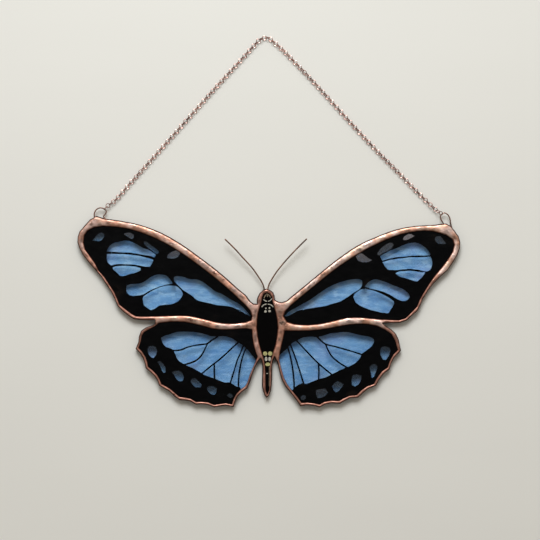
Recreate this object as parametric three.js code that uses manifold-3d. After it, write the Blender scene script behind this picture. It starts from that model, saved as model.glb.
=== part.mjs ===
// Stained-glass butterfly suncatcher with its hanging chain, lying on its back.
// Millimetres. +X is to the right and +Y to the head as seen from the front, +Z points out of the front.
// The origin is under the middle of the butterfly, on the surface that it lies on.
import * as THREE from "three";
import { mergeVertices } from "three/addons/utils/BufferGeometryUtils.js";
import Module from "manifold-3d";

const wasm = await Module();
wasm.setup();

// Driving dimensions
const glassThickness = 3;
const crownHeight = 1; // how far the solder stands above each face of the glass
const crownRound = 0.45; // how far the crown's rounded shoulder reaches in
const crownFacets = 2;
const foilTuck = 0.6; // how far the glass reaches under the solder
const fitGap = 0.3; // clearance between pieces that touch
const antennaWire = 0.8;
const loopWire = 0.7;
const chainDiameter = 2.7; // outer size of a link
const wireSides = 8;
const outlineStep = 4; // longest facet along an outline
const mitreLimit = 0.7;

const glassBack = crownHeight;
const glassFront = glassBack + glassThickness;

// An outline is a list of runs. A run is one smooth curve through its points and ends at the next run's
// first point, so the outline has a corner wherever one run meets the next.
const silhouette = [
  // head, from the right side of the neck over the top
  [
    [3.2, 3.9], [3, 6.1], [2.1, 8.1], [0.3, 9.4], [-1.4, 10], [-3.3, 9.2], [-5.2, 7.4], [-6.3, 5.2],
    [-6.7, 3.3],
  ],
  // left forewing: leading edge, tip, outer margin and underside
  [
    [-6.5, 1.7], [-8.6, 1.8], [-10.4, 3.3], [-12.6, 6.3], [-17, 9.9], [-27, 18.8], [-38, 27.2], [-49, 35],
    [-60, 41.1], [-71, 45.1], [-82, 47.4], [-90.5, 48.6], [-94.9, 50], [-98.5, 47.9], [-102, 44],
    [-104.2, 41.3], [-105.1, 38.5], [-105.2, 35.5], [-104.3, 32.5], [-102.2, 28.6], [-99.3, 24.8],
    [-95.8, 20.7], [-92.2, 16.5], [-89.7, 12.7], [-86.9, 8.6], [-85, 4.8], [-83.4, 0.8], [-80.5, -2.3],
    [-77, -5], [-74.3, -6.6], [-70.4, -7.1],
  ],
  [[-62.8, -7.3]],
  // left hindwing: shoulder, then the scallops one by one
  [[-62.7, -9.2], [-64.9, -10.4], [-67.8, -11.4], [-70.3, -13.2], [-71.4, -16], [-71.8, -19.3]],
  [[-73.3, -23], [-71.1, -25.2], [-69.3, -28.1], [-68.4, -30.8]],
  [[-67.7, -33.7], [-65.2, -35.8], [-62.9, -38.1], [-61.3, -40.5]],
  [[-60.4, -43.2], [-57.5, -44.8], [-54.7, -46.5], [-52, -49.1]],
  [[-49.2, -51.2], [-46, -51.3], [-43.2, -51.9]],
  [[-40.2, -53.6], [-37.1, -53.4], [-33.8, -53.7]],
  [[-30.1, -55.2], [-27, -54.6], [-23.7, -54.2]],
  // left hindwing: inner margin, up to the tail
  [
    [-19.4, -55], [-18.3, -51.4], [-16.8, -48.7], [-14.6, -46.5], [-12, -44.8], [-10.3, -40.7],
    [-8.9, -36.3], [-7.3, -32.5], [-5.9, -29.8],
  ],
  // tail
  [
    [-4.7, -28.4], [-3.9, -30], [-3.6, -33], [-3.7, -38], [-3.8, -43.5], [-3.2, -46.2], [-2.4, -48.4],
    [-1.2, -50], [0, -48.5], [1, -45.9], [1.5, -42.4], [1.6, -37.4], [1.7, -32.5], [2.1, -29.7],
  ],
  // right hindwing: inner margin
  [
    [3.1, -27.5], [4.6, -30.5], [5.6, -34.9], [7, -39.9], [9.2, -44], [11.6, -46.8], [14, -49.8],
    [15.8, -52.4],
  ],
  // right hindwing: the scallops one by one, then the shoulder
  [[17.2, -54.6], [21.2, -54], [24.8, -54.3]],
  [[27.9, -55.2], [30.5, -53.7], [34.1, -52.9]],
  [[39.1, -53.1], [41.3, -51.8], [44.6, -50.1]],
  [[49, -49.8], [51.3, -47.6], [54.6, -44.9]],
  [[58.8, -43.3], [60.4, -40.3], [62.8, -37]],
  [[66.3, -34.2], [67, -31.6], [68.6, -28.3]],
  [[72.5, -23.9], [71.9, -21.2], [71.2, -17.9], [69.7, -14.7], [67.4, -12.5], [64.6, -10.8]],
  // right forewing: underside, outer margin, tip and leading edge
  [
    [62.7, -8.9], [67.7, -8.8], [72.1, -8.6], [75.8, -7.3], [78.5, -4.8], [81.7, -2], [83.4, 1.4],
    [84.7, 4.6], [87.3, 8.8], [90.4, 12.8], [94.2, 16.7], [98.2, 20.2], [100.9, 24.2], [103.4, 28.3],
    [104.8, 32.2], [105.1, 35.5], [104.2, 38.8], [102.2, 41.7], [100.1, 44.3], [97.5, 45.8], [89.7, 45],
    [79.8, 44.4], [69.5, 42.4], [59, 38.5], [48.5, 33.6], [38, 26.5], [28.1, 18.6], [19.5, 11.5],
    [12.1, 5.5], [9.6, 3.4], [7.2, 2.6], [5, 2.9],
  ],
];

const forewingLeftWindow = [
  [
    [-9.4, -5.1], [-10.3, -2.2], [-13.2, 1.1], [-24.2, 11.3], [-38, 22.3], [-51.7, 31.8], [-64.4, 38.5],
    [-78.1, 43], [-91.3, 44.3], [-96.3, 43.6], [-99.8, 41.6], [-101.4, 39.1], [-101.8, 35.5],
    [-100.9, 31.6], [-97.9, 27.5], [-95.4, 23.9], [-93.7, 20.2], [-90.2, 16.2], [-87.5, 12.1], [-85.1, 8.4],
    [-83.4, 4.6], [-82, 1.2], [-78.4, -1.5], [-75.6, -3.7], [-72.9, -5.1],
  ],
  [
    [-68.2, -5.2], [-58, -4.9], [-47.9, -4.6], [-41.8, -5.2], [-30.8, -7.8], [-24.8, -8.9], [-18.2, -9],
    [-12.7, -8.2], [-10, -7.2],
  ],
];

const forewingRightWindow = [
  [
    [8.1, -5], [8.8, -2.8], [11.6, 0.4], [23.7, 10.5], [39.1, 22.6], [55.6, 32.7], [72.1, 39.7],
    [85.3, 41.8], [91.9, 41], [97.4, 39.3], [100.8, 36.9], [101.7, 34.1], [100.7, 30.3], [97.9, 25.7],
    [94.6, 21.5], [90.2, 16.1], [86.1, 9.7], [82.9, 4.2], [81.3, 0.3], [77.8, -3.4], [74.8, -6.2],
  ],
  [
    [71.5, -7.2], [62, -6.8], [50.1, -5.7], [42.9, -5.9], [36.3, -7.4], [29.2, -9], [21.5, -9.8],
    [14.3, -9.4], [9.9, -8],
  ],
];

const hindwingLeftWindow = [
  [
    [-60.5, -9], [-54, -8.2], [-46, -8.4], [-37.4, -10.3], [-31.4, -11.9], [-25.3, -12.6], [-18.7, -12.3],
    [-12.7, -11.9],
  ],
  [[-9.6, -12.5], [-9.2, -16.5], [-8.6, -20.6], [-7.5, -24.5]],
  [
    [-6.4, -27.4], [-7.6, -30.3], [-9.2, -33.8], [-10.8, -37.7], [-12, -41.5], [-13.3, -43.6],
    [-15.6, -45.3], [-17.9, -47.6], [-19.5, -50.5],
  ],
  [[-20.5, -53.4], [-23.7, -52.8], [-27, -53.2]],
  [[-30.1, -53.7], [-33.6, -52.3], [-37.1, -52]],
  [[-40, -52.1], [-42.9, -50.4], [-46.2, -49.7]],
  [[-49, -49.4], [-51.4, -47.4], [-54.2, -45], [-56.7, -43.5]],
  [[-59, -42.4], [-60, -39.9], [-61.4, -37.3], [-63.8, -34.9]],
  [[-66.3, -32.8], [-66.8, -30.3], [-67.8, -27.4], [-69.6, -24.6]],
  [[-71.6, -22.5], [-70.4, -19], [-69.9, -16], [-68.6, -13.9], [-66.3, -12.6], [-63.1, -10.9]],
];

const hindwingRightWindow = [
  [
    [8.7, -13.2], [18.7, -13.2], [25.9, -12.8], [33.6, -11.7], [40.7, -10.3], [47.9, -9.5], [54.5, -9.6],
    [59.4, -10.6], [63.8, -12.6], [67.2, -14.9], [69.1, -18.2], [69.9, -20.9],
  ],
  [[70.7, -23.6], [68.2, -26.2], [66.3, -29.7]],
  [[65.1, -33.2], [62, -35.3], [59.5, -38.7]],
  [[57.5, -42.3], [53.8, -43.5], [50.5, -45.9]],
  [[48, -48.4], [44.3, -48.7], [40.8, -50.2]],
  [[38.5, -51.5], [34.1, -51.4], [30.3, -52.1]],
  [[27.8, -53.5], [24.8, -52.8], [21.2, -52.4]],
  [[17.9, -52.6], [15.6, -49.4], [13, -46.2], [10.3, -42.7], [8.4, -39.1], [7.1, -34.9]],
  [[5.6, -28.9], [6.1, -25], [7.2, -20.1], [8.1, -16.2]],
];

const bodyWindow = [
  [
    [-1.1, 7.8], [-2.9, 7.1], [-3.7, 5.2], [-4, 2.8], [-5, -0.2], [-5.9, -3.3], [-6.4, -7.2], [-6.5, -11.6],
    [-6.1, -16], [-5.2, -20.4], [-4, -24.5], [-2.9, -28.1], [-2.3, -31.6], [-1.9, -35.8], [-1.8, -41.3],
    [-1.7, -45.7], [-1, -48.1], [0, -45.9], [0.2, -41.3], [0.2, -35.8], [0.5, -31.6], [1.2, -28.1],
    [2.2, -24.5], [3.5, -20.6], [4.3, -16], [4.7, -11.6], [4.4, -7.2], [3.7, -3.6], [2.8, -0.2], [1.9, 2.8],
    [1.7, 5.2], [0.5, 7],
  ],
];

// Wires and chain, as points on their centre lines
const antennaLeftRoute = [
  [-2.6, 9.3, 3], [-2.9, 11, 3.1], [-3.8, 13.4, 3.3], [-6.1, 17.1, 3.8], [-9.4, 21.7, 4.4],
  [-13.8, 26.5, 5], [-18.7, 31.9, 5.6], [-24.2, 37.3, 6.2],
];
const antennaRightRoute = [
  [-0.6, 9.3, 3], [-0.4, 11.2, 3.1], [0.9, 14.1, 3.4], [3.9, 18.9, 4], [7.5, 23.5, 4.6], [11.8, 28.4, 5.2],
  [16.6, 33.4, 5.7], [20.8, 37.5, 6.2],
];
const loopLeftRoute = [
  [-94.9, 47, 2.5], [-95.9, 49.2, 2.5], [-96.1, 51.4, 2.6], [-95, 53.5, 2.8], [-93, 54.5, 3],
  [-90.9, 54.1, 3], [-89.5, 52.7, 2.9], [-90, 51.2, 2.7], [-91.1, 49.9, 2.6], [-90.6, 48.2, 2.5],
  [-89.1, 46.6, 2.5],
];
const loopRightRoute = [
  [97.4, 42.9, 2.5], [96.1, 45.7, 2.5], [94.7, 48.1, 2.6], [94.3, 49.8, 2.8], [95.2, 51.2, 3],
  [96.8, 51.7, 3], [98.5, 50.6, 2.8], [99.6, 48.4, 2.6], [99.9, 45.9, 2.5], [100.6, 43.5, 2.5],
  [101, 41.6, 2.5],
];
const chainRoute = [
  [-88, 55, 2.4], [-84.3, 59.2, 1.6], [-76, 68.6, 1.4], [-64, 82, 1.4], [-52, 95.5, 1.4], [-40, 109, 1.4],
  [-28, 122.4, 1.4], [-16, 135.5, 1.4], [-8, 144.3, 1.4], [-5, 147.3, 1.4], [-3.1, 148.1, 1.4],
  [-1.4, 148.4, 1.4], [0.3, 147.9, 1.4], [3, 145.6, 1.4], [8.2, 141, 1.4], [15.9, 133.1, 1.4],
  [23.7, 124.9, 1.4], [31.6, 116.3, 1.4], [39.4, 107.7, 1.4], [47.3, 99, 1.4], [55.2, 90.5, 1.4],
  [63, 82.4, 1.4], [70.9, 74.5, 1.4], [78.7, 66.4, 1.4], [86.6, 58.5, 1.6], [92.4, 53, 2.4],
];
const antennaSteps = 12;
const loopSteps = 20;
const chainSteps = 72;

// Finishes
const finish = {
  blueGlass: { color: 0x6f97c8, roughness: 0.15, metalness: 0, transparent: true, opacity: 0.8 },
  blackGlass: { color: 0x0b0b0d, roughness: 0.15, metalness: 0 },
  copperSolder: { color: 0xc98f73, roughness: 0.3, metalness: 1 },
  copperWire: { color: 0x8c5a48, roughness: 0.35, metalness: 1 },
};

// The points of an outline, counterclockwise, with no facet much longer than outlineStep.
function trace(runs) {
  const points = [];
  runs.forEach((run, index) => {
    const end = runs[(index + 1) % runs.length][0];
    const anchors = [...run, end].map(([x, y]) => new THREE.Vector2(x, y));
    const curve = new THREE.SplineCurve(anchors);
    const spans = anchors.length - 1;
    for (let span = 0; span < spans; span++) {
      const length = anchors[span].distanceTo(anchors[span + 1]);
      const facets = Math.max(1, Math.round(length / outlineStep));
      for (let k = 0; k < facets; k++) points.push(curve.getPoint((span + k / facets) / spans));
    }
  });
  return THREE.ShapeUtils.isClockWise(points) ? points.reverse() : points;
}

// The same outline moved outwards by a distance, with its sharpest corners blunted.
function grow(outline, distance) {
  return outline.map((point, i) => {
    const arriving = point.clone().sub(outline.at(i - 1)).normalize();
    const leaving = outline[(i + 1) % outline.length].clone().sub(point).normalize();
    const outward = new THREE.Vector2(arriving.y + leaving.y, -arriving.x - leaving.x).normalize();
    const mitre = Math.max(mitreLimit, outward.x * arriving.y - outward.y * arriving.x);
    return point.clone().addScaledVector(outward, distance / mitre);
  });
}

// A flat-sided plate of an outline between two heights.
function plate(outline, low, high) {
  const shape = new THREE.Shape(outline);
  const geometry = new THREE.ExtrudeGeometry(shape, { depth: high - low, bevelEnabled: false });
  return geometry.translate(0, 0, low);
}

// A round wire, or a bore for one, along a route.
function wire(route, diameter, steps) {
  const section = new THREE.Shape().absarc(0, 0, diameter / 2, 0, 2 * Math.PI);
  const extrudePath = new THREE.CatmullRomCurve3(route.map((point) => new THREE.Vector3(...point)));
  return new THREE.ExtrudeGeometry(section, { steps, curveSegments: wireSides / 2, extrudePath });
}

// A geometry as a solid that can be cut, and back again.
function solidOf(geometry) {
  const bare = geometry.clone();
  bare.deleteAttribute("normal");
  bare.deleteAttribute("uv");
  const merged = mergeVertices(bare);
  const vertProperties = merged.attributes.position.array;
  const triVerts = new Uint32Array(merged.index.array);
  return new wasm.Manifold(new wasm.Mesh({ numProp: 3, vertProperties, triVerts }));
}

function geometryOf(solid) {
  const { vertProperties, triVerts } = solid.getMesh();
  const geometry = new THREE.BufferGeometry();
  geometry.setAttribute("position", new THREE.BufferAttribute(vertProperties, 3));
  geometry.setIndex(new THREE.BufferAttribute(triVerts, 1));
  geometry.computeVertexNormals();
  return geometry;
}

// The solder: one rounded network around the five windows, with a groove that holds each pane and a
// bore for each wire end.
function makeSolder(windows, wires) {
  const shape = new THREE.Shape(trace(silhouette));
  shape.holes = windows.map((outline) => new THREE.Path(outline));
  const rounded = new THREE.ExtrudeGeometry(shape, {
    depth: glassThickness,
    bevelThickness: crownHeight,
    bevelSize: crownRound,
    bevelOffset: -crownRound,
    bevelSegments: crownFacets,
  });
  let solder = solidOf(rounded.translate(0, 0, glassBack));
  for (const outline of windows) {
    const groove = plate(grow(outline, foilTuck + fitGap), glassBack - fitGap, glassFront + fitGap);
    solder = solder.subtract(solidOf(groove));
  }
  for (const { route, diameter, steps } of wires) {
    solder = solder.subtract(solidOf(wire(route, diameter + 2 * fitGap, steps)));
  }
  return geometryOf(solder);
}

const butterfly = new THREE.Group();

function addPiece(name, geometry, look) {
  const mesh = new THREE.Mesh(geometry, new THREE.MeshStandardMaterial(look));
  mesh.name = name;
  butterfly.add(mesh);
}

const panes = [
  ["forewing_left_glass", trace(forewingLeftWindow), finish.blueGlass],
  ["forewing_right_glass", trace(forewingRightWindow), finish.blueGlass],
  ["hindwing_left_glass", trace(hindwingLeftWindow), finish.blueGlass],
  ["hindwing_right_glass", trace(hindwingRightWindow), finish.blueGlass],
  ["body_glass", trace(bodyWindow), finish.blackGlass],
];
const wires = [
  { name: "antenna_left", route: antennaLeftRoute, diameter: antennaWire, steps: antennaSteps },
  { name: "antenna_right", route: antennaRightRoute, diameter: antennaWire, steps: antennaSteps },
  { name: "hanging_loop_left", route: loopLeftRoute, diameter: loopWire, steps: loopSteps },
  { name: "hanging_loop_right", route: loopRightRoute, diameter: loopWire, steps: loopSteps },
];

for (const [name, outline, look] of panes) {
  addPiece(name, plate(grow(outline, foilTuck), glassBack, glassFront), look);
}
const windowOutlines = panes.map(([, outline]) => outline);
addPiece("solder_frame", makeSolder(windowOutlines, wires), finish.copperSolder);
for (const { name, route, diameter, steps } of wires) {
  addPiece(name, wire(route, diameter, steps), finish.copperWire);
}
addPiece("hanging_chain", wire(chainRoute, chainDiameter, chainSteps), finish.copperWire);

export default butterfly;
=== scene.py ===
# Stained-glass butterfly suncatcher, lying on its back on a pale board
import math

import bmesh
import bpy
import numpy as np
from mathutils import Matrix, Vector, noise
from mathutils.kdtree import KDTree


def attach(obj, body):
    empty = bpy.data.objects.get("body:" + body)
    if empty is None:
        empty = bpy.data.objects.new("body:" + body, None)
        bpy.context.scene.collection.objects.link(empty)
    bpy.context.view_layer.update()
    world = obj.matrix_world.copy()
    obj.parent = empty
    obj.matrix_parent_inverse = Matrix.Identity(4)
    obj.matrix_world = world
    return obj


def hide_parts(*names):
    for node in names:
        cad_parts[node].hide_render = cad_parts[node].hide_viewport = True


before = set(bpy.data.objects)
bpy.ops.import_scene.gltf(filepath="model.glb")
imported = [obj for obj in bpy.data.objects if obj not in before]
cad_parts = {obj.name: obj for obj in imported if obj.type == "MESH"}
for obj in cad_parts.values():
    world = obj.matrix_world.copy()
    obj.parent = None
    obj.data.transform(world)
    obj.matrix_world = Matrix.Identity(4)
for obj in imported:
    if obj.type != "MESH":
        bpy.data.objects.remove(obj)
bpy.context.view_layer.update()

mm = 0.001
up = Vector((0, 0, 1))

# Where a place on the photograph is on the butterfly
photo = {
    "middleX": 269.0,  # pixel that the origin shows at
    "middleY": 307.0,
    "pixel": 0.55 * mm,
}


def fromPhoto(x, y):
    return Vector(((x - photo["middleX"]) * photo["pixel"], (photo["middleY"] - y) * photo["pixel"], 0))


def fromMm(points):
    return [Vector(point) * mm for point in points]


# Camera, straight above as in the photograph
print("camera")
view = {
    "aim": fromPhoto(270, 270),
    "width": 540 * photo["pixel"],  # what the picture takes in at the height below
    "height": 3 * mm,
    "distance": 900 * mm,
    "sensor": 36.0,
}
cameraData = bpy.data.cameras.new("camera")
cameraData.sensor_width = view["sensor"]
cameraData.lens = view["sensor"] * view["distance"] / view["width"]
cameraData.clip_start = 10 * mm
camera = bpy.data.objects.new("camera", cameraData)
camera.location = view["aim"] + up * (view["height"] + view["distance"])
bpy.context.collection.objects.link(camera)
bpy.context.scene.camera = camera


# Smooth lines through given points
def between(p0, p1, p2, p3, t):
    return 0.5 * (2 * p1 + (p2 - p0) * t + (2 * p0 - 5 * p1 + 4 * p2 - p3) * t**2
                  + (3 * p1 - p0 - 3 * p2 + p3) * t**3)


def smoothLoop(points, step, cornerAngle):
    # closed line through the points, with a corner wherever it turns by more than cornerAngle
    count = len(points)
    legs = [points[(i + 1) % count] - points[i] for i in range(count)]
    isCorner = [legs[i - 1].angle(legs[i], 0) > math.radians(cornerAngle) for i in range(count)]
    line = []
    for i in range(count):
        here = points[i]
        there = points[(i + 1) % count]
        before = here if isCorner[i] else points[i - 1]
        after = there if isCorner[(i + 1) % count] else points[(i + 2) % count]
        parts = max(1, round(legs[i].length / step))
        line += [between(before, here, there, after, k / parts) for k in range(parts)]
    return line


def smoothLine(points, step):
    line = []
    last = len(points) - 1
    for i in range(last):
        before = points[max(0, i - 1)]
        after = points[min(last, i + 2)]
        parts = max(1, round((points[i + 1] - points[i]).length / step))
        line += [between(before, points[i], points[i + 1], after, k / parts) for k in range(parts)]
    return line + [points[last]]


def evenly(line, step):
    # points at even distances along a line, near the given step
    reach = [0.0]
    for a, b in zip(line, line[1:]):
        reach.append(reach[-1] + (b - a).length)
    count = round(reach[-1] / step)
    out = []
    k = 0
    for i in range(count + 1):
        want = reach[-1] * i / count
        while k < len(line) - 2 and reach[k + 1] < want:
            k += 1
        share = (want - reach[k]) / (reach[k + 1] - reach[k])
        out.append(line[k].lerp(line[k + 1], share))
    return out


def wander(place, size, seed):
    # smooth random value from about -1 to 1 that changes over the given size
    return noise.noise(place / size + Vector((seed, seed * 1.7, seed * 0.3)))


# Materials: a socket that can stand in sums, and one method for every node
class Field:
    def __init__(self, finish, socket):
        self.finish = finish
        self.socket = socket

    def maths(self, operation, first, second):
        return self.finish.node("ShaderNodeMath", {"operation": operation}, {0: first, 1: second})

    def __add__(self, other):
        return self.maths("ADD", self, other)

    def __sub__(self, other):
        return self.maths("SUBTRACT", self, other)

    def __rsub__(self, other):
        return self.maths("SUBTRACT", other, self)

    def __mul__(self, other):
        return self.maths("MULTIPLY", self, other)

    __radd__ = __add__
    __rmul__ = __mul__


class Finish:
    def __init__(self, name):
        self.material = bpy.data.materials.new(name)
        self.material.use_nodes = True
        self.tree = self.material.node_tree
        self.tree.nodes.clear()
        self.place = self.node("ShaderNodeTexCoord", out="Object")

    def node(self, kind, settings=None, inputs=None, out=0):
        made = self.tree.nodes.new(kind)
        for name, value in (settings or {}).items():
            setattr(made, name, value)
        for name, value in (inputs or {}).items():
            if isinstance(value, Field):
                self.tree.links.new(value.socket, made.inputs[name])
            else:
                made.inputs[name].default_value = value
        return Field(self, made.outputs[out])

    def grain(self, size, detail=2.0, stretch=(1, 1, 1), seed=0.0):
        # noise whose lumps are about the given size, drawn out along the axes by stretch
        scale = tuple(1 / s for s in stretch)
        moved = self.node("ShaderNodeMapping", None,
                          {"Vector": self.place, "Scale": scale, "Location": (seed, seed, seed)})
        return self.node("ShaderNodeTexNoise", None, {"Vector": moved, "Scale": 1 / size, "Detail": detail})

    def along(self, axis):
        return self.node("ShaderNodeSeparateXYZ", None, {"Vector": self.place}, out=axis)

    def rise(self, value, low, high):
        return self.node("ShaderNodeMapRange", {"interpolation_type": "SMOOTHSTEP"},
                         {"Value": value, "From Min": low, "From Max": high})

    def mix(self, share, first, second):
        return self.node("ShaderNodeMix", {"data_type": "RGBA"}, {0: share, 6: first, 7: second}, out=2)

    def attribute(self, name):
        return self.node("ShaderNodeAttribute", {"attribute_name": name}, out="Fac")

    def bump(self, height, depth):
        return self.node("ShaderNodeBump", None, {"Height": height, "Distance": depth})

    def surface(self, **sockets):
        named = {name.replace("_", " "): value for name, value in sockets.items()}
        return self.node("ShaderNodeBsdfPrincipled", None, named)

    def done(self, shader):
        output = self.tree.nodes.new("ShaderNodeOutputMaterial")
        self.tree.links.new(shader.socket, output.inputs["Surface"])
        return self.material


copper = {
    "pink": (0.89, 0.66, 0.59, 1),
    "orange": (0.74, 0.40, 0.28, 1),
    "gold": (0.89, 0.68, 0.54, 1),
    "red": (0.44, 0.215, 0.165, 1),
    "tarnishAndShade": (0.15, 0.050, 0.030, 1),
    "side": (0.050, 0.031, 0.026, 1),
    "roughness": 0.42,
}


def solderFinish():
    f = Finish("copper_solder")
    colour = f.mix(f.rise(f.grain(8 * mm, 4), 0.42, 0.58), copper["pink"], copper["orange"])
    goldPatch = f.rise(f.grain(5 * mm, 4, seed=3), 0.52, 0.66)
    colour = f.mix(goldPatch * 0.8, colour, copper["gold"])
    # painted highlight and painted shade: the wide beads are painted paler along the crest, less so on the
    # left wings, and round the body they keep the darker red as painted shade
    across = f.along("X")
    crestHighlight = 0.65 + 0.35 * f.rise(across, -30 * mm, 30 * mm)
    crestHighlight = crestHighlight * (0.5 + 0.5 * f.rise(across * across, 56 * mm * mm, 130 * mm * mm))
    colour = f.mix(crestHighlight * f.rise(f.attribute("depth"), 0.75, 1.9), copper["red"], colour)
    stain = f.rise(f.grain(3.4 * mm, 4, seed=15), 0.50, 0.70)
    colour = f.mix(stain * 0.25, colour, copper["tarnishAndShade"])
    # painted shade with tarnish along both edges of the bead, tarnish in its pits, and a dark band along
    # the outer outline
    flank = 1 - f.rise(f.attribute("fromEdge"), 0.06, 0.40)
    edgeMottle = f.rise(f.grain(2.5 * mm, 3, seed=7), 0.35, 0.65)
    colour = f.mix(flank * (0.65 + 0.35 * edgeMottle), colour, copper["tarnishAndShade"])
    pits = f.rise(f.grain(0.9 * mm, 2, seed=11), 0.66, 0.76)
    colour = f.mix(pits * 0.5, colour, copper["tarnishAndShade"])
    side = f.rise(f.attribute("outside"), 0.60, 0.80)
    colour = f.mix(side * (0.74 + 0.22 * edgeMottle), colour, copper["side"])
    patches = f.grain(3 * mm, 4, seed=5)
    roughness = copper["roughness"] + 0.8 * (patches - 0.5) + 0.1 * flank
    wrinkles = f.grain(1.6 * mm, 4, stretch=(1.3, 1, 1), seed=2) - 0.6 * pits
    normal = f.bump(wrinkles, 0.11 * mm)
    return f.done(f.surface(Base_Color=colour, Metallic=1.0, Roughness=roughness, Normal=normal))


def wireFinish(name, bright, dark, roughness):
    f = Finish(name)
    colour = f.mix(f.rise(f.grain(4 * mm, 3), 0.38, 0.62), bright, dark)
    normal = f.bump(f.grain(0.5 * mm, 2, seed=4), 0.03 * mm)
    roughness = roughness + 0.2 * (f.grain(1.5 * mm, 2, seed=8) - 0.5)
    return f.done(f.surface(Base_Color=colour, Metallic=1.0, Roughness=roughness, Normal=normal))


# Chain
print("chain")
chain = {
    "linkDiameter": 2.7 * mm,
    "linkWire": 0.42 * mm,
    "firstLink": 3.2 * mm,  # the jump ring on the left loop
    "flatRoll": 26,  # degrees that the open links lean over
    "rollSpread": 14,
    "looseRoll": 10,  # the same near the loops, where the chain hangs slack
    "looseLinks": 14,
    "endRoll": 46,  # and for the last one, which the right loop goes through
    "endLinks": 4,
    "ringParts": 12,
    "wireParts": 5,
    "bright": (0.66, 0.39, 0.34, 1),
    "dark": (0.30, 0.155, 0.135, 1),
    "roughness": 0.28,
}
chainRoute = fromMm([
    (-89.9, 54.5, 2.9), (-88.4, 56.0, 2.3), (-84.3, 59.2, 1.6), (-76, 68.6, 1.4), (-64, 82, 1.4),
    (-52, 95.5, 1.4), (-40, 109, 1.4), (-28, 122.4, 1.4), (-16, 135.5, 1.4), (-8, 144.3, 1.4),
    (-5, 147.3, 1.4), (-3.1, 148.1, 1.4), (-1.4, 148.4, 1.4), (0.3, 147.9, 1.4), (3, 145.6, 1.4),
    (8.2, 141, 1.4), (15.9, 133.1, 1.4), (23.7, 124.9, 1.4), (31.6, 116.3, 1.4), (39.4, 107.7, 1.4),
    (47.3, 99, 1.4), (55.2, 90.5, 1.4), (63, 82.4, 1.4), (70.9, 74.5, 1.4), (78.7, 66.4, 1.4),
    (86.6, 58.5, 1.6), (92.3, 53.1, 2.5), (94.5, 51.6, 3.0),
])


def addLink(bm, middle, along, normal, diameter):
    # a ring of round wire, spun about its normal
    turn = Matrix((along, normal.cross(along), normal)).transposed().to_4x4()
    arm = (diameter - chain["linkWire"]) / 2
    toSection = Matrix.Translation(middle) @ turn @ Matrix.Translation((arm, 0, 0)) @ Matrix.Rotation(
        math.radians(90), 4, "X")
    section = bmesh.ops.create_circle(bm, segments=chain["wireParts"], radius=chain["linkWire"] / 2,
                                      matrix=toSection)["verts"]
    edges = list(dict.fromkeys(edge for vert in section for edge in vert.link_edges))
    bmesh.ops.spin(bm, geom=section + edges, cent=middle, axis=normal, angle=2 * math.pi,
                   steps=chain["ringParts"], use_merge=True, use_duplicate=False)


def makeChain():
    pitch = 2 * (chain["linkDiameter"] / 2 - chain["linkWire"])
    middles = evenly(smoothLine(chainRoute, 1 * mm), pitch)
    if len(middles) % 2:  # an even count, so that the last link lies open
        middles = evenly(smoothLine(chainRoute, 1 * mm), pitch * len(middles) / (len(middles) + 1))
    bm = bmesh.new()
    last = len(middles) - 1
    for i, middle in enumerate(middles):
        along = (middles[min(last, i + 1)] - middles[max(0, i - 1)]).normalized()
        roll = chain["flatRoll"] + chain["rollSpread"] * wander(middle, 9 * mm, 1)
        roll += (chain["looseRoll"] - roll) * max(0, 1 - min(i, last - i) / chain["looseLinks"])
        roll += (chain["endRoll"] - roll) * max(0, 1 - (last - i) / chain["endLinks"])
        if i % 2 == 0:
            roll -= 90
        side = along.cross(up).normalized()
        normal = (Matrix.Rotation(math.radians(roll), 3, along) @ side.cross(along)).normalized()
        addLink(bm, middle, along, normal, chain["firstLink"] if i == 0 else chain["linkDiameter"])
    bmesh.ops.recalc_face_normals(bm, faces=bm.faces)
    print("  links", len(middles), "length mm", round(len(middles) * pitch / mm))
    return bm, middles


def addPiece(name, bm, material, nodes, sharpAngle=60):
    mesh = bpy.data.meshes.new(name)
    bm.to_mesh(mesh)
    bm.free()
    mesh.materials.append(material)
    mesh.polygons.foreach_set("use_smooth", [True] * len(mesh.polygons))
    mesh.set_sharp_from_angle(angle=math.radians(sharpAngle))
    piece = bpy.data.objects.new(name, mesh)
    bpy.context.collection.objects.link(piece)
    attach(piece, "root")
    if nodes:
        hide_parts(*nodes)
    return piece


chainMesh, chainMiddles = makeChain()
chainCopper = wireFinish("chain_copper", chain["bright"], chain["dark"], chain["roughness"])
chainPiece = addPiece("link_chain", chainMesh, chainCopper, ["hanging_chain"])
chainLength = sum((b - a).length for a, b in zip(chainMiddles, chainMiddles[1:]))


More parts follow.
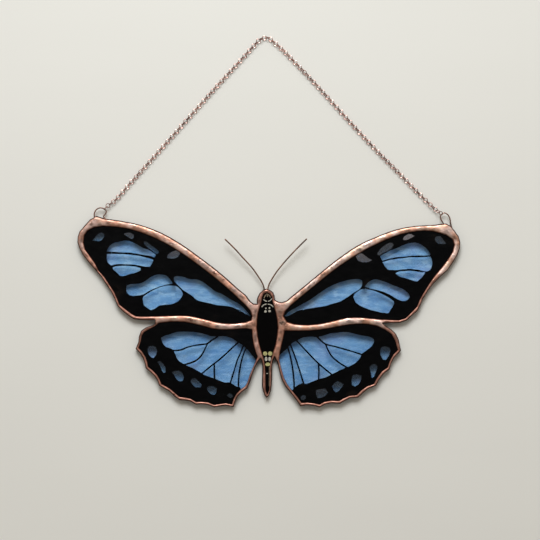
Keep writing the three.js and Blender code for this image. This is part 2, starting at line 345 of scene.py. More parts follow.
# Antennae and hanging loops
print("wires")
wires = {
    "antenna_left": {"diameter": 0.8 * mm, "piece": "antenna_wire_left", "route": [
        (-2.2, 7.6, 3.2), (-2.6, 9.3, 3.1), (-2.9, 11, 3.1), (-3.8, 13.4, 3.3), (-6.1, 17.1, 3.8),
        (-9.4, 21.7, 4.4), (-13.8, 26.5, 5), (-18.7, 31.9, 5.6), (-24.2, 37.3, 6.2)]},
    "antenna_right": {"diameter": 0.8 * mm, "piece": "antenna_wire_right", "route": [
        (-0.9, 7.6, 3.2), (-0.6, 9.3, 3.1), (-0.4, 11.2, 3.1), (0.9, 14.1, 3.4), (3.9, 18.9, 4),
        (7.5, 23.5, 4.6), (11.8, 28.4, 5.2), (16.6, 33.4, 5.7), (20.8, 37.5, 6.2)]},
    "hanging_loop_left": {"diameter": 0.7 * mm, "piece": "loop_wire_left", "route": [
        (-94.9, 47, 2.5), (-95.9, 49.2, 2.5), (-96.1, 51.4, 2.6), (-95, 53.5, 2.8), (-93, 54.5, 3),
        (-90.9, 54.1, 3), (-89.5, 52.7, 2.9), (-90, 51.2, 2.7), (-91.1, 50.0, 2.6), (-90.5, 48.9, 2.5),
        (-89.4, 48.0, 2.5), (-88.2, 46.9, 2.5)]},
    "hanging_loop_right": {"diameter": 0.7 * mm, "piece": "loop_wire_right", "route": [
        (97.4, 42.9, 2.5), (96.1, 45.7, 2.5), (94.7, 48.1, 2.6), (94.3, 49.8, 2.8), (95.2, 51.2, 3),
        (96.8, 51.7, 3), (98.5, 50.6, 2.8), (99.6, 48.4, 2.6), (99.9, 45.9, 2.5), (100.6, 43.5, 2.5),
        (101, 41.6, 2.5)]},
}


wireCopper = {
    "antennaBright": (0.36, 0.20, 0.15, 1),
    "antennaDark": (0.16, 0.10, 0.08, 1),
    "antennaRoughness": 0.34,
    "loopBright": (0.42, 0.22, 0.17, 1),
    "loopDark": (0.20, 0.11, 0.09, 1),
    "loopRoughness": 0.30,
    "tip": 0.55,  # thickness of an antenna's tip for its wire
}


def makeWire(name, route, diameter, thinTip):
    # a bevelled curve, turned into a mesh
    line = smoothLine(fromMm(route), 0.5 * mm)
    curve = bpy.data.curves.new(name, "CURVE")
    curve.dimensions = "3D"
    curve.bevel_depth = diameter / 2
    curve.bevel_resolution = 3
    curve.use_fill_caps = True
    spline = curve.splines.new("POLY")
    spline.points.add(len(line) - 1)
    for point, place in zip(spline.points, line):
        point.co = (*place, 1)
        point.radius = 1 + 0.06 * wander(place, 3 * mm, 5)
    if thinTip:
        spline.points[-1].radius = wireCopper["tip"]
    holder = bpy.data.objects.new(name, curve)
    bm = bmesh.new()
    bm.from_mesh(bpy.data.meshes.new_from_object(holder))
    bpy.data.objects.remove(holder)
    bmesh.ops.remove_doubles(bm, verts=bm.verts, dist=0.001 * mm)
    bmesh.ops.recalc_face_normals(bm, faces=bm.faces)
    return bm


antennaCopper = wireFinish("antenna_copper", wireCopper["antennaBright"], wireCopper["antennaDark"],
                           wireCopper["antennaRoughness"])
loopCopper = wireFinish("loop_copper", wireCopper["loopBright"], wireCopper["loopDark"],
                        wireCopper["loopRoughness"])
for node, wire in wires.items():
    isAntenna = node.startswith("antenna")
    mesh = makeWire(wire["piece"], wire["route"], wire["diameter"], isAntenna)
    addPiece(wire["piece"], mesh, antennaCopper if isAntenna else loopCopper, [node])


# Outlines, read from the CAD nodes at a height
def outlinesOf(node, height):
    bm = bmesh.new()
    bm.from_mesh(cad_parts[node].data)
    bmesh.ops.remove_doubles(bm, verts=bm.verts, dist=0.01 * mm)
    bmesh.ops.bisect_plane(bm, geom=bm.verts[:] + bm.edges[:] + bm.faces[:], plane_co=up * height,
                           plane_no=up, clear_inner=True, clear_outer=True)
    outlines = []
    done = set()
    for start in bm.verts:
        outline = []
        vert = start
        edge = start.link_edges[0]
        while vert not in done:
            done.add(vert)
            outline.append(vert.co.xy.to_3d())
            vert = edge.other_vert(vert)
            edge = [e for e in vert.link_edges if e is not edge][0]
        if outline:
            outlines.append(inOrder(outline))
    bm.free()
    return sorted(outlines, key=areaOf, reverse=True)


def inOrder(outline):
    # counterclockwise from its leftmost point, so that every run starts from the same line
    if areaOf(outline) < 0:
        outline = outline[::-1]
    first = min(range(len(outline)), key=lambda i: (outline[i].x, outline[i].y))
    return outline[first:] + outline[:first]


def areaOf(outline):
    return sum(a.x * b.y - b.x * a.y for a, b in zip(outline, outline[1:] + outline[:1])) / 2


def addOutline(bm, outline):
    verts = [bm.verts.new(place) for place in outline]
    for a, b in zip(verts, verts[1:] + verts[:1]):
        bm.edges.new((a, b))
    return verts


def fillOutlines(bm):
    # faces between the outlines, with the inner ones as holes
    bmesh.ops.triangle_fill(bm, use_beauty=True, edges=bm.edges, normal=up)


# Solder
print("solder")
solder = {
    "outlineHeight": 4.32 * mm,  # where the solder's own lips are widest
    "faceSize": 0.62 * mm,  # longest edge of its mesh
    "faceRounds": 7,
    "rimStep": 0.42 * mm,
    "rimInset": 0.12 * mm,
    "cornerAngle": 32,
    "frontLip": 4.09 * mm,  # the solder starts here, just above the glass and its paint
    "backLip": 0.93 * mm,
    "slope": 0.56,  # height of the bead for its half width
    "frontCrown": 1.12 * mm,  # tallest bead
    "backCrown": 0.9 * mm,
    "groove": 0.66 * mm,  # how far the glass and its slot reach in
    "bulge": 0.2 * mm,  # of the outer walls
    "unevenness": 0.05 * mm,  # of the outer walls
    "lumps": 0.4,  # share of the height that comes and goes
    "dimples": 0.07 * mm,
    "shoulder": 0.8 * mm,  # lumps and pools fade out where the bead is narrower
    "sideReach": 1.6 * mm,  # how far in from the outer outline the dark band reaches
    "settleSteps": 700,
}
# pools of solder where wires are held: place in mm, size and how much they add
pools = [((-95.5, 46.5, 0), 3.4, 0.5), ((-90.2, 46.3, 0), 2.6, 0.3), ((98.8, 43.4, 0), 3.6, 0.45),
         ((-1.6, 9, 0), 1.6, 0.4), ((-8.5, 0.5, 0), 2.6, 0.25), ((8, 1.0, 0), 2.6, 0.3),
         ((8, -8.5, 0), 2.2, 0.2), ((-8.8, -8.6, 0), 2.2, 0.2)]


def innerVerts(bm):
    return [vert for vert in bm.verts if not vert.is_boundary]


def tidyTriangles(bm):
    # turns the crossing edges for rounder triangles and lets the points drift apart
    inner = [edge for edge in bm.edges if not edge.is_boundary]
    bmesh.ops.beautify_fill(bm, faces=bm.faces, edges=inner, method="AREA")
    bmesh.ops.smooth_vert(bm, verts=innerVerts(bm), factor=0.5, use_axis_x=True, use_axis_y=True)


def evenTriangles(bm, longest, rounds):
    # cuts long edges, coarsely at first, and takes crowded points out once the mesh is fine
    for turn in range(rounds):
        limit = longest * (2.2 if turn < 3 else 1)
        tooLong = [edge for edge in bm.edges if not edge.is_boundary and edge.calc_length() > limit]
        bmesh.ops.subdivide_edges(bm, edges=tooLong, cuts=1)
        bmesh.ops.triangulate(bm, faces=[face for face in bm.faces if len(face.verts) > 3])
        tidyTriangles(bm)
        tidyTriangles(bm)
        crowded = []
        taken = set()
        for vert in innerVerts(bm):
            lengths = [edge.calc_length() for edge in vert.link_edges]
            if vert not in taken and sum(lengths) / len(lengths) < 0.62 * longest:
                crowded.append(vert)
                taken.update(edge.other_vert(vert) for edge in vert.link_edges)
        if turn > 1:
            bmesh.ops.dissolve_verts(bm, verts=crowded)
            bmesh.ops.triangulate(bm, faces=[face for face in bm.faces if len(face.verts) > 3])
        for _ in range(3):
            tidyTriangles(bm)


def settle(bm, steps):
    # height of a skin that is held at the borders and pushed up evenly: for a strip it is the
    # square of a half circle over its width, and it runs together where strips meet
    bm.verts.index_update()
    ends = np.array([[vert.index for vert in edge.verts] for edge in bm.edges])
    pull = np.array([1 / edge.calc_length() for edge in bm.edges])
    count = len(bm.verts)
    first, second = ends[:, 0], ends[:, 1]
    hold = np.bincount(first, pull, count) + np.bincount(second, pull, count)
    push = (np.bincount(first, 1 / pull, count) + np.bincount(second, 1 / pull, count)) / 2
    free = np.array([not vert.is_boundary for vert in bm.verts])
    height = np.zeros(count)
    for _ in range(steps):
        near = np.bincount(first, pull * height[second], count)
        near += np.bincount(second, pull * height[first], count)
        height = np.where(free, (near + push) / hold, 0)
    return np.sqrt(height)


def placesOf(lines):
    # the points of some lines, ready to be searched for the nearest one
    points = [point for line in lines for point in line]
    tree = KDTree(len(points))
    for i, point in enumerate(points):
        tree.insert(point, i)
    tree.balance()
    return tree


def makeSolder():
    bm = bmesh.new()
    outlines = outlinesOf("solder_frame", solder["outlineHeight"])
    lines = [smoothLoop(outline, solder["rimStep"], solder["cornerAngle"]) for outline in outlines]
    for line in lines:
        addOutline(bm, line)
    fillOutlines(bm)
    evenTriangles(bm, solder["faceSize"], solder["faceRounds"])
    bmesh.ops.inset_region(bm, faces=bm.faces, thickness=solder["rimInset"], use_boundary=True,
                           use_even_offset=True)
    halfWidth = settle(bm, solder["settleSteps"])

    # what the walls and the colours need to know, kept on the points
    layers = bm.verts.layers.float
    depth, fromEdge, outside = layers.new("depth"), layers.new("fromEdge"), layers.new("outside")
    outX, outY = layers.new("outX"), layers.new("outY")
    outer = placesOf(lines[:1])
    anyEdge = placesOf(lines)
    for vert, width in zip(bm.verts, halfWidth):
        gap = anyEdge.find(vert.co)[2]
        vert[depth] = width / mm
        # 0 at the edge, 1 on the crest
        vert[fromEdge] = 2 * gap**2 / (gap**2 + width**2 + (0.01 * mm)**2)
        vert[outside] = max(0, 1 - outer.find(vert.co)[2] / solder["sideReach"])
    for edge in bm.edges:
        if edge.is_boundary:
            a, b = edge.verts
            out = (b.co - a.co).cross(up).normalized()
            if out.dot((a.co + b.co) / 2 - edge.link_faces[0].calc_center_median()) < 0:
                out.negate()
            for vert in edge.verts:
                vert[outX] += out.x
                vert[outY] += out.y

    # the back is the sheet itself, the front is pulled up from it
    lift = bmesh.ops.extrude_face_region(bm, geom=bm.faces[:])["geom"]
    front = {item for item in lift if isinstance(item, bmesh.types.BMVert)}
    walls = [edge for edge in bm.edges if (edge.verts[0] in front) != (edge.verts[1] in front)]
    for vert in bm.verts:
        width = vert[depth] * mm
        shoulder = min(1, width / solder["shoulder"])
        crest = solder["slope"] * width * (1 + solder["lumps"] * wander(vert.co, 7 * mm, 3))
        crest += solder["dimples"] * shoulder * wander(vert.co, 2.3 * mm, 9)
        if vert in front:
            for place, size, extra in pools:
                gap = (vert.co - Vector(place) * mm).length / (size * mm)
                crest += extra * mm * shoulder * math.exp(-gap * gap)
            tallest = solder["frontCrown"]
            height = solder["frontLip"] + tallest * math.tanh(max(0, crest) / tallest)
        else:
            tallest = solder["backCrown"]
            height = solder["backLip"] - tallest * math.tanh(max(0, crest) / tallest)
        vert.co.z = height

    # round the panes the solder keeps a groove for the glass, outside it bulges a little
    outerWalls = [edge for edge in walls if edge.verts[0][outside] > 0.9]
    innerWalls = [edge for edge in walls if edge.verts[0][outside] <= 0.9]
    for chosen, cuts in ((outerWalls, 3), (innerWalls, 2)):
        cut = bmesh.ops.subdivide_edges(bm, edges=chosen, cuts=cuts)["geom_inner"]
        for vert in [item for item in cut if isinstance(item, bmesh.types.BMVert)]:
            out = Vector((vert[outX], vert[outY], 0)).normalized()
            rise = (vert.co.z - solder["backLip"]) / (solder["frontLip"] - solder["backLip"])
            if chosen is outerWalls:
                swell = solder["bulge"] * math.sin(math.pi * rise)
                vert.co += out * (swell + solder["unevenness"] * wander(vert.co, 2.5 * mm, 6))
            else:
                vert.co -= out * solder["groove"]
                vert.co.z = solder["frontLip"] if rise > 0.5 else solder["backLip"]
    bmesh.ops.recalc_face_normals(bm, faces=bm.faces)
    print("  faces", len(bm.faces))
    return bm


addPiece("solder_network", makeSolder(), solderFinish(), ["solder_frame"])


# Glass panes, and the black paint fired on their fronts
print("glass and paint")
glass = {
    "back": 1 * mm,
    "front": 4 * mm,
    "outlineHeight": 2.5 * mm,
    "cornerAngle": 32,
    "paintLow": 3.97 * mm,  # the paint bites a little into the glass
    "paintHigh": 4.06 * mm,
    "brushStep": 0.45 * mm,
    "brushSlip": 0.11 * mm,  # how unsteady the painted edges are
    "vein": 0.86 * mm,
    "streakBlue": (0.33, 0.50, 0.69, 1),
    "paleBlue": (0.52, 0.64, 0.76, 1),
    "lilac": (0.41, 0.46, 0.70, 1),
    "deepBlue": (0.20, 0.355, 0.58, 1),
    "lampTint": (0.78, 0.90, 0.98, 1),  # what one face takes out of the light that falls through
    "clear": 0.93,
    "paintBlack": (0.0011, 0.0011, 0.0014, 1),
    "paintThin": (0.0060, 0.0042, 0.0036, 1),
    "shadeFilmHigh": 4.03 * mm,
    "shadeFilmDark": (0.024, 0.029, 0.036, 1),
    "shadeFilmPale": (0.21, 0.185, 0.19, 1),
    "shadeFilmCover": 0.62,  # how much one face of the painted shade film hides
}

# The bare windows of each pane and the veins across them, as places on the photograph, and the windows
# that get painted shade, a grey film for the paint's shadow on the board below: full at the top, how strong
# it is at the bottom, and how pale it is
painted = {
    "forewing_left_glass": {
        "windows": [
            [(92.5, 240.5), (96, 236.5), (99, 233.5), (102, 232.5), (104.5, 234), (104.3, 237), (102, 240),
             (99, 241.2), (95, 240.8)],
            [(124, 234), (127, 232.8), (131, 233), (134, 235), (134, 238), (132, 239), (129, 237.5),
             (126, 235.5)],
            [(143.8, 241.5), (147, 242), (151, 245), (155, 248), (158.8, 251), (158.8, 253), (157, 254),
             (153, 251.5), (149, 248), (145, 245)],
            [(167, 257.5), (168, 254.5), (172, 252), (176, 250.5), (179.5, 251.5), (180, 254), (178, 257),
             (174, 258.5), (168, 258.3)],
            [(107, 251.5), (109, 247), (113, 243.5), (120, 241.5), (126, 240.5), (132, 242), (138, 245),
             (143, 248), (149, 250), (153, 252.5), (156, 255), (154.5, 257.5), (150, 256), (140, 254.2),
             (130, 252.7), (120, 252.2)],
            [(107, 254), (120, 254), (130, 254.7), (140, 256), (148, 258), (153.5, 260), (152, 263.5),
             (150, 266.5), (146, 266.7), (140, 265.5), (133, 264.5), (125, 264.3), (118, 264), (111, 265.3),
             (108, 262), (106.8, 257)],
            [(113, 268), (115, 266.5), (122, 265.8), (130, 266), (137, 267), (141, 268.5), (140.5, 270.5),
             (136, 272.5), (130, 274), (124, 276), (120, 275.8), (117, 272.5), (113.5, 269.5)],
            [(126.3, 289), (127, 285.5), (131, 284), (140, 283.5), (146, 280.5), (151, 277), (156, 274.8),
             (161, 274.5), (166, 275.5), (170, 279), (173, 283.5), (165, 285), (157, 287.5), (150, 290.5),
             (145, 293.5), (141, 295), (135, 295.8), (130, 295), (127, 292)],
            [(143, 299), (143.3, 296.5), (146, 294.8), (151, 291.5), (158, 288), (165, 286), (172, 285.5),
             (177, 286.5), (181, 290), (183, 294), (181.5, 297.5), (178, 301), (172, 304), (165, 304.7),
             (160, 305.5), (155, 308.5), (151, 310), (147, 307.5), (144, 305), (143.3, 302)],
            [(174, 277), (178, 276), (184, 277), (190, 279), (197, 279.5), (203, 282), (208, 285.5),
             (215, 291), (222, 294), (230, 299), (238, 303.5), (244, 308), (249, 314), (250.5, 316),
             (246, 314), (240, 310.5), (232, 307), (225, 305.8), (217, 305), (209, 303), (202, 301.5),
             (197, 300), (193, 296.5), (189, 293.5), (184, 290.5), (180, 287), (176, 283), (174, 280)],
        ],
        "paintedShade": {0: (0, 0), 1: (0.5, 0.25), 2: (0.1, 0), 3: (0.35, 0.4)},
        "veins": [],
    },
    "forewing_right_glass": {
        "windows": [
            [(434.5, 239), (436, 236.5), (440, 236), (442.5, 239), (446, 243.5), (443, 244), (438, 243.5),
             (435.5, 241.5)],
            [(402.8, 238.8), (404, 236.5), (408, 234.3), (411, 234), (414, 236), (411, 238), (407, 239.8),
             (403.5, 240)],
            [(377, 254), (379, 250.5), (383, 246.5), (388, 243.3), (392, 243), (393.5, 245), (390, 249.5),
             (385, 252), (381, 254.5), (378.5, 255.5)],
            [(355.5, 256.5), (358, 254), (361, 253), (364, 255), (367.5, 257.5), (372, 260), (368, 262),
             (362, 262), (358, 260.5)],
            [(380, 256), (384, 254), (390, 250.5), (397, 248), (403, 245), (410, 243), (417, 243),
             (423, 246), (427, 249.5), (430.5, 254.5), (427, 255.5), (418, 255.5), (410, 256),
             (402, 256.8), (395, 257.5), (388, 259), (382.5, 260.8), (381, 258.5)],
            [(382.5, 262.3), (388, 260.5), (396, 259), (404, 258), (412, 257.3), (420, 257.3),
             (430.5, 256.5), (432, 261), (431.8, 266), (430, 270), (426, 271.5), (419, 270), (411, 269),
             (403, 269.3), (396, 270), (388, 269.8), (385, 266.5)],
            [(395.3, 273.5), (398, 271.8), (405, 271), (413, 271), (420, 272), (425, 272), (423.5, 275),
             (420, 279), (417, 281.3), (412, 280.3), (405, 278), (399, 276)],
            [(364.5, 286.5), (368, 282.5), (372, 280), (377, 279.5), (384, 281.5), (391, 284.5),
             (399, 287.5), (405, 290.5), (408.5, 294), (409.5, 297), (407.5, 300), (403, 301),
             (398, 299.5), (391, 295.5), (384, 292), (377, 290), (370, 288.5)],
            [(353.3, 297), (355, 293.5), (359, 290.5), (363, 289), (369, 289.5), (377, 292), (384, 295),
             (390, 298.5), (393.8, 301.5), (393.5, 304.5), (391, 309), (388, 313), (382, 312.5),
             (375, 311), (368, 309), (360, 305.5), (355.5, 302)],
            [(284.8, 316), (289, 311.5), (296, 307.5), (303, 303.5), (311, 299), (319, 293.5), (327, 288),
             (335, 284), (343, 281.3), (351, 279.5), (358, 279), (362, 280.5), (362, 284.5), (360, 288.5),
             (354, 292.5), (348, 296.5), (341, 301), (333, 303.5), (325, 306), (315, 307.5), (306, 309),
             (298, 310.8), (291, 314.5), (286.5, 316.5)],
        ],
        "paintedShade": {0: (0.8, 0.08), 1: (1, 0.95), 2: (0.75, 0.2), 3: (0.8, 0.55)},
        "veins": [],
    },
    "hindwing_left_glass": {
        "windows": [
            [(161, 338), (164, 336), (170, 334), (177, 332), (186, 331.5), (195, 332), (203, 333.5),
             (209, 335.5), (216, 336.5), (224, 336), (231, 337.8), (237, 341.5), (243, 345.5), (248, 350),
             (252, 355), (257, 361), (256.5, 364), (254, 369.8), (251.3, 376.6), (248.6, 384.5),
             (245.8, 388.8), (242.3, 391.8), (240, 387), (236, 386), (230, 382.5), (224, 382),
             (215, 378.5), (205, 375), (200, 372), (193, 368), (186, 365), (180, 361.5), (177, 358),
             (175, 353), (172, 349), (166, 346.5), (163, 343)],
            [(147.5, 349), (149, 346.3), (153, 345.5), (156, 347), (157.3, 351), (156, 355), (153.5, 358),
             (151, 357), (148.5, 353.5)],
            [(157.5, 361.5), (160, 360.8), (163, 363.5), (165.5, 367), (165.8, 372), (164, 373),
             (162, 370.5), (160, 365.5)],
            [(172, 372), (175, 370.8), (179, 370.5), (182.5, 373), (184, 377), (183, 380.5), (180, 381.3),
             (177, 379.5), (174.5, 375.5)],
            [(190.5, 381), (192, 378.5), (195, 378), (198, 380.5), (202, 384.5), (200.5, 387.3), (196, 387),
             (192.5, 384.5)],
            [(206.8, 388), (209, 386), (213, 385.8), (216.8, 388), (216.5, 392), (214.5, 394.8), (211, 394),
             (208.5, 391.5)],
            [(227, 395), (229.5, 393), (232, 394), (233, 396.5), (231, 398), (228, 396.5)],
        ],
        "paintedShade": {1: (0, 0), 2: (0.05, 0), 3: (0, 0), 4: (0.15, 0), 5: (0.1, 0), 6: (1, 0)},
        "veins": [
            [(218.5, 335), (217, 337), (212, 340), (207, 343.5), (197, 345), (188, 347), (180, 350),
             (171, 350.5)],
            [(207.5, 343.5), (204.5, 350), (201, 356), (196, 360.5), (190, 363), (183, 365)],
            [(239, 341.5), (231, 349), (224, 355.5), (217, 361.5), (211, 366), (201.5, 374)],
            [(214.5, 364), (214.3, 371), (214.8, 380)],
            [(243.5, 345.5), (240, 354), (237, 361), (234, 371), (230, 384)],
            [(247, 347), (243.5, 354), (241, 363), (239, 375), (238.3, 388)],
        ],
    },
    "hindwing_right_glass": {
        "windows": [
            [(277.5, 357), (283, 352), (287, 348.5), (292, 343), (297, 340.5), (303, 337.5), (310, 336.5),
             (317, 336.8), (323, 335.5), (330, 333.5), (338, 332.5), (346, 332), (354, 333.5),
             (362, 335.5), (369, 336.5), (373.5, 339), (374, 342), (371, 346.5), (366, 350.5),
             (361.5, 354), (359.5, 358.5), (355, 363), (348, 366.5), (341, 369.5), (333, 373.5),
             (326, 377), (319, 379), (312, 381.5), (306, 384), (303, 382.5), (297, 385.5), (294, 388),
             (291, 391.5), (286.7, 387.6), (283.4, 382), (280.9, 375), (279.1, 367), (277.7, 361)],
            [(380, 350), (381.5, 347), (385, 346.3), (389, 347.5), (390.5, 350), (389, 355), (386, 359.5),
             (383, 359.5), (380.5, 355)],
            [(369.5, 367), (371.5, 364.5), (375, 364), (377.5, 366), (376, 371), (374, 376), (372, 378),
             (371, 374)],
            [(352, 377), (353, 374.8), (357, 374.3), (361.5, 375.5), (361, 379.5), (358.5, 384),
             (355, 386.3), (352, 385), (351.5, 380.5)],
            [(332, 386), (334, 383.5), (337, 381), (340, 382), (343.5, 384), (341.5, 387.5), (338.5, 390.5),
             (336, 392.3), (333.5, 390)],
            [(316, 390), (320, 389), (325, 388.5), (328, 392), (325, 396), (321, 397.5), (317.5, 398),
             (316, 394)],
            [(300.5, 397), (302.5, 395), (305.5, 395.5), (306, 398), (303.5, 400), (301, 399.5)],
        ],
        "paintedShade": {1: (0, 0), 2: (0, 0), 3: (0, 0), 4: (0.25, 0.05), 5: (0.75, 0.08), 6: (1, 0.02)},
        "veins": [
            [(316, 335), (317, 336.5), (321, 340.5), (325.5, 344), (335, 346.5), (344, 349), (354, 352),
             (364, 355.3)],
            [(325.5, 344), (328, 350), (332, 356.5), (337, 361), (342, 364.5), (349, 368.5)],
            [(295.5, 339.5), (296.5, 340.5), (304, 348.5), (311, 356), (318.5, 363.5), (325, 369),
             (333, 375.5)],
            [(318.5, 363.5), (318.8, 371), (318.6, 380.5)],
            [(290, 343.5), (294, 354), (297.5, 364), (301, 375), (304.3, 385.5)],
            [(287.5, 346.5), (290.5, 357), (292.5, 368), (294, 381), (294, 390)],
        ],
    },
}


def brushed(outline):
    # the outline as an unsteady brush leaves it, with sharper corners on the small windows
    line = smoothLoop(outline, glass["brushStep"], 30 if len(outline) < 10 else 40)
    slip = glass["brushSlip"]
    return [p + slip * Vector((wander(p, 2 * mm, 1), wander(p, 2 * mm, 2), 0)) for p in line]


def stroke(points, width):
    # outline of a brush stroke, rounded at both ends
    line = evenly(smoothLine(points, 0.5 * mm), 0.5 * mm)
    left, right = [], []
    for i, place in enumerate(line):
        along = (line[min(len(line) - 1, i + 1)] - line[max(0, i - 1)]).normalized()
        reach = along.cross(up) * width / 2 * (1 + 0.25 * wander(place, 3 * mm, 4))
        left.append(place + reach)
        right.append(place - reach)
    tips = [line[0] + (line[0] - line[1]).normalized() * width / 2,
            line[-1] + (line[-1] - line[-2]).normalized() * width / 2]
    return [tips[0]] + left + [tips[1]] + right[::-1]


def makePlate(outlines, low, high):
    bm = bmesh.new()
    for outline in outlines:
        addOutline(bm, outline)
    fillOutlines(bm)
    bmesh.ops.translate(bm, vec=up * low, verts=bm.verts)
    lift = bmesh.ops.extrude_face_region(bm, geom=bm.faces[:])["geom"]
    raised = [item for item in lift if isinstance(item, bmesh.types.BMVert)]
    bmesh.ops.translate(bm, vec=up * (high - low), verts=raised)
    bmesh.ops.recalc_face_normals(bm, faces=bm.faces)
    return bm


def makePaintedShade(spots):
    # painted shade: a thin grey film over some windows in place of the paint's shadow on the board below,
    # with its strength and its tone kept on the points
    film = makePlate([outline for outline, _, _ in spots], glass["paintLow"], glass["shadeFilmHigh"])
    layers = film.verts.layers.float
    strength, tone = layers.new("strength"), layers.new("tone")
    for outline, bottom, pale in spots:
        low = min(point.y for point in outline)
        high = max(point.y for point in outline)
        edge = placesOf([outline])
        for vert in film.verts:
            if edge.find(vert.co.xy.to_3d())[2] < 0.01 * mm:
                fade = min(1, max(0, 2 * (vert.co.y - low) / (high - low) - 0.85))
                vert[strength] = bottom + (1 - bottom) * fade
                vert[tone] = pale
    return film


def holderOf(name, bm):
    mesh = bpy.data.meshes.new(name)
    bm.to_mesh(mesh)
    bm.free()
    holder = bpy.data.objects.new(name, mesh)
    bpy.context.collection.objects.link(holder)
    return holder


def cutFrom(bm, tool):
    # what is left of one solid when another is cut out of it
    body, knife = holderOf("body", bm), holderOf("knife", tool)
    modifier = body.modifiers.new("cut", "BOOLEAN")
    modifier.operation = "DIFFERENCE"
    modifier.solver = "EXACT"
    modifier.use_self = True
    modifier.object = knife
    shown = body.evaluated_get(bpy.context.evaluated_depsgraph_get())
    left = bmesh.new()
    left.from_mesh(bpy.data.meshes.new_from_object(shown))
    for holder in (body, knife):
        bpy.data.objects.remove(holder)
    return left


def glassFinish():
    f = Finish("blue_streaky_glass")
    streaks = f.grain(3.2 * mm, 5, stretch=(4, 1, 1))
    wisps = f.grain(2.2 * mm, 6, stretch=(2.6, 1, 1), seed=6)
    tone = f.grain(12 * mm, 3, stretch=(1.5, 1, 1), seed=9)
    colour = f.mix(f.rise(streaks, 0.36, 0.64), glass["deepBlue"], glass["streakBlue"])
    colour = f.mix(f.rise(tone, 0.50, 0.66) * 0.5, colour, glass["lilac"])
    colour = f.mix(f.rise(wisps, 0.49, 0.61) * 0.75, colour, glass["paleBlue"])
    # deeper blue towards the bottom, over the hindwings
    colour = f.mix(0.25 * (1 - f.rise(f.along("Y"), -22 * mm, 4 * mm)), colour, glass["deepBlue"])
    normal = f.bump(f.grain(7 * mm, 2, stretch=(1.6, 1, 1), seed=2), 0.25 * mm)
    body = f.surface(Base_Color=colour, Roughness=0.06, IOR=1.52, Transmission_Weight=glass["clear"],
                     Normal=normal)
    lampsThrough = f.node("ShaderNodeBsdfTransparent", None, {"Color": glass["lampTint"]})
    isShadow = f.node("ShaderNodeLightPath", out="Is Shadow Ray")
    return f.done(f.node("ShaderNodeMixShader", None, {0: isShadow, 1: body, 2: lampsThrough}))


def paintFinish():
    f = Finish("black_fired_paint")
    thin = f.rise(f.grain(9 * mm, 5, stretch=(1.6, 1, 1), seed=3), 0.60, 0.74)
    colour = f.mix(thin, glass["paintBlack"], glass["paintThin"])
    roughness = 0.16 + 0.16 * f.grain(2.2 * mm, 4, stretch=(2, 1, 1), seed=1)
    normal = f.bump(f.grain(6 * mm, 3, seed=2), 0.12 * mm)
    return f.done(f.surface(Base_Color=colour, Roughness=roughness, Specular_IOR_Level=0.2, Normal=normal))


def paintedShadeFinish():
    # painted shade: a grey, partly see-through film, with its paler tone as painted reflection off the
    # glass
    f = Finish("grey_wash")
    colour = f.mix(f.attribute("tone"), glass["shadeFilmDark"], glass["shadeFilmPale"])
    cover = glass["shadeFilmCover"] * (0.7 + 0.6 * f.grain(1.5 * mm, 3, seed=4)) * f.attribute("strength")
    return f.done(f.surface(Base_Color=colour, Roughness=0.3, Alpha=cover))


blueGlass = glassFinish()
blackPaint = paintFinish()
paintedShadeGrey = paintedShadeFinish()
for node, paint in painted.items():
    side = node.replace("_glass", "")
    rim = smoothLoop(outlinesOf(node, glass["outlineHeight"])[0], 1 * mm, glass["cornerAngle"])
    pane = makePlate([rim], glass["back"], glass["front"])
    addPiece(side + "_pane", pane, blueGlass, [node])
    windows = [brushed([fromPhoto(x, y) for x, y in outline]) for outline in paint["windows"]]
    bare = makePlate(windows, glass["paintLow"] - 1 * mm, glass["paintHigh"] + 1 * mm)
    for vein in paint["veins"]:
        line = stroke([fromPhoto(x, y) for x, y in vein], glass["vein"])
        bare = cutFrom(bare, makePlate([line], glass["paintLow"] - 2 * mm, glass["paintHigh"] + 2 * mm))
    coat = cutFrom(makePlate([rim], glass["paintLow"], glass["paintHigh"]), bare)
    addPiece(side + "_paint", coat, blackPaint, [], 30)
    # painted shade over the windows that lie in the paint's shadow
    spots = [(windows[i], *shading) for i, shading in paint["paintedShade"].items()]
    addPiece(side + "_wash", makePaintedShade(spots), paintedShadeGrey, [], 30)


# Body: one black piece with small painted marks
print("body")
body = {
    "black": (0.0010, 0.0010, 0.0011, 1),
    "worn": (0.0022, 0.0019, 0.0019, 1),
    "markHeight": 0.07 * mm,
    "cream": (0.50, 0.47, 0.40, 1),
    "olive": (0.50, 0.47, 0.20, 1),
    "tan": (0.24, 0.18, 0.115, 1),
    "lineWidth": 0.5 * mm,
}
creamDots = [((265.9, 308.3), 0.8, 0.8), ((269.4, 308.0), 0.8, 0.8), ((265.4, 311.4), 1.25, 1.15),
             ((269.6, 311.1), 1.3, 1.15), ((266.1, 358.8), 1.4, 2.1), ((269.6, 358.8), 1.35, 2.1),
             ((267.2, 373.4), 0.9, 0.35)]
oliveDots = [((265.2, 353.5), 2.1, 2.1), ((270.2, 353.5), 2.15, 2.1), ((267.8, 364.2), 2.5, 1.75)]
creamLines = [[(263.6, 299.6), (265.0, 300.6), (266.6, 301.2)],
              [(271.9, 298.6), (270.4, 300.2), (268.4, 301.2)],
              [(261.8, 306.8), (263.6, 304.9), (266.2, 304.0)],
              [(268.0, 304.2), (270.9, 304.7), (273.2, 306.8)]]
tanLines = [[(264.2, 297.8), (265.0, 296.0), (265.9, 294.8)],
            [(266.9, 293.8), (267.2, 295.0), (267.5, 296.6)],
            [(268.3, 294.6), (269.4, 295.6), (270.4, 297.0)],
            [(269.45, 367.0), (269.5, 376.0), (269.4, 386.0)]]


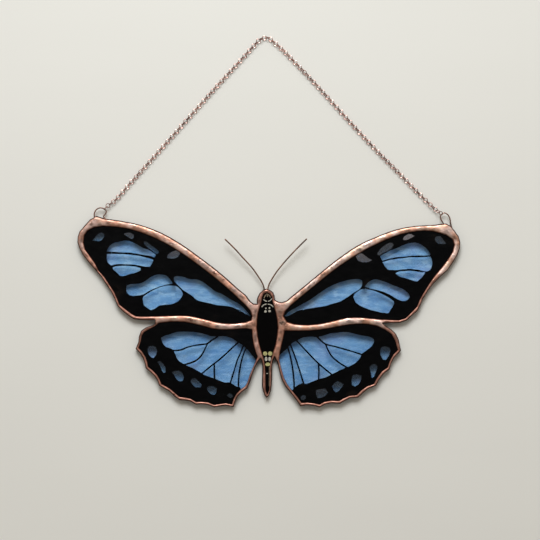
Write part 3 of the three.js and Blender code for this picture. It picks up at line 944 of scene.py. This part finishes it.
def blackGlassFinish():
    f = Finish("black_glass")
    colour = f.mix(f.grain(4 * mm, 3), body["black"], body["worn"])
    roughness = 0.10 + 0.08 * f.grain(3 * mm, 3)
    normal = f.bump(f.grain(5 * mm, 2, seed=4), 0.12 * mm)
    return f.done(f.surface(Base_Color=colour, Roughness=roughness, Specular_IOR_Level=0.2, Normal=normal))


def markFinish(name, colour):
    f = Finish(name)
    faded = tuple(0.55 * c for c in colour[:3]) + (1,)
    tint = f.mix(f.rise(f.grain(0.7 * mm, 3), 0.3, 0.7), faded, colour)
    return f.done(f.surface(Base_Color=tint, Roughness=0.35 + 0.1 * f.grain(1 * mm)))


def dot(centre, wide, high):
    # outline of an oval, its half sizes in pixels of the photograph
    middle = fromPhoto(*centre)
    turns = [2 * math.pi * k / 20 for k in range(20)]
    ring = [middle + photo["pixel"] * Vector((wide * math.cos(a), high * math.sin(a), 0)) for a in turns]
    return [p + 0.05 * mm * Vector((wander(p, 0.8 * mm, 1), wander(p, 0.8 * mm, 2), 0)) for p in ring]


def markOutlines(dots, lines):
    ovals = [dot(*spec) for spec in dots]
    return ovals + [stroke([fromPhoto(x, y) for x, y in line], body["lineWidth"]) for line in lines]


bodyRim = smoothLoop(outlinesOf("body_glass", glass["outlineHeight"])[0], 0.7 * mm, glass["cornerAngle"])
bodyPane = makePlate([bodyRim], glass["back"], glass["front"])
addPiece("body_pane", bodyPane, blackGlassFinish(), ["body_glass"])
markTop = glass["front"] + body["markHeight"]
bodyMarks = {"cream": (creamDots, creamLines), "olive": (oliveDots, []), "tan": ([], tanLines)}
for name, (dots, lines) in bodyMarks.items():
    marks = makePlate(markOutlines(dots, lines), glass["paintLow"], markTop)
    addPiece("body_marks_" + name, marks, markFinish(name + "_paint", body[name]), [], 30)


# Board to lie on, and soft light from above the picture
print("board and light")
studio = {
    "boardSize": 4.0,
    "boardTint": (0.74, 0.725, 0.69, 1),
    "keyFrom": Vector((-0.05, 0.62, 0.78)),  # direction of the window
    "keyDistance": 1.1,
    "keySize": 0.5,
    "keyPower": 9.5,
    "keyTint": (0.94, 0.985, 1.0),
    "towardsWindow": 2.5,  # how much brighter the room is on the window's side
    "fromWindow": 0.3,
    "sideSpan": 0.8,
    # light of the room from the horizon up, with the camera looking down from a dark ceiling
    "room": [(0.0, (0.14, 0.125, 0.105, 1)), (0.40, (0.20, 0.185, 0.16, 1)),
             (0.64, (0.465, 0.43, 0.375, 1)), (0.86, (0.405, 0.38, 0.335, 1)),
             (0.955, (0.037, 0.035, 0.032, 1))],
}
boardMesh = bmesh.new()
bmesh.ops.create_grid(boardMesh, x_segments=1, y_segments=1, size=studio["boardSize"] / 2)
board = holderOf("board", boardMesh)
boardFinish = Finish("pale_board")
duller = tuple(0.95 * c for c in studio["boardTint"][:3]) + (1,)
tint = boardFinish.mix(boardFinish.grain(60 * mm, 3, stretch=(4, 1, 1)), studio["boardTint"], duller)
board.data.materials.append(boardFinish.done(boardFinish.surface(Base_Color=tint, Roughness=0.6)))

keyData = bpy.data.lights.new("window_light", "AREA")
keyData.shape = "SQUARE"
keyData.size = studio["keySize"]
keyData.energy = studio["keyPower"]
keyData.color = studio["keyTint"]
key = bpy.data.objects.new("window_light", keyData)
key.location = view["aim"] + studio["keyFrom"].normalized() * studio["keyDistance"]
key.rotation_euler = studio["keyFrom"].to_track_quat("Z", "Y").to_euler()
bpy.context.collection.objects.link(key)

world = bpy.data.worlds.new("room")
world.use_nodes = True
room = world.node_tree
background = room.nodes["Background"]
facing = room.nodes.new("ShaderNodeTexCoord")
split = room.nodes.new("ShaderNodeSeparateXYZ")
ramp = room.nodes.new("ShaderNodeValToRGB")
stops = ramp.color_ramp.elements
for i, (height, colour) in enumerate(studio["room"]):
    stop = stops[i] if i < 2 else stops.new(height)
    stop.position = height
    stop.color = colour
room.links.new(facing.outputs["Generated"], split.inputs[0])
room.links.new(split.outputs["Z"], ramp.inputs["Fac"])
sideLight = room.nodes.new("ShaderNodeMapRange")
sideLight.inputs["From Min"].default_value = -studio["sideSpan"]
sideLight.inputs["From Max"].default_value = studio["sideSpan"]
sideLight.inputs["To Min"].default_value = studio["fromWindow"]
sideLight.inputs["To Max"].default_value = studio["towardsWindow"]
room.links.new(split.outputs["Y"], sideLight.inputs["Value"])
room.links.new(sideLight.outputs[0], background.inputs["Strength"])
room.links.new(ramp.outputs["Color"], background.inputs["Color"])
bpy.context.scene.world = world
bpy.context.scene.view_settings.view_transform = "Standard"
bpy.context.scene.cycles.use_denoising = True
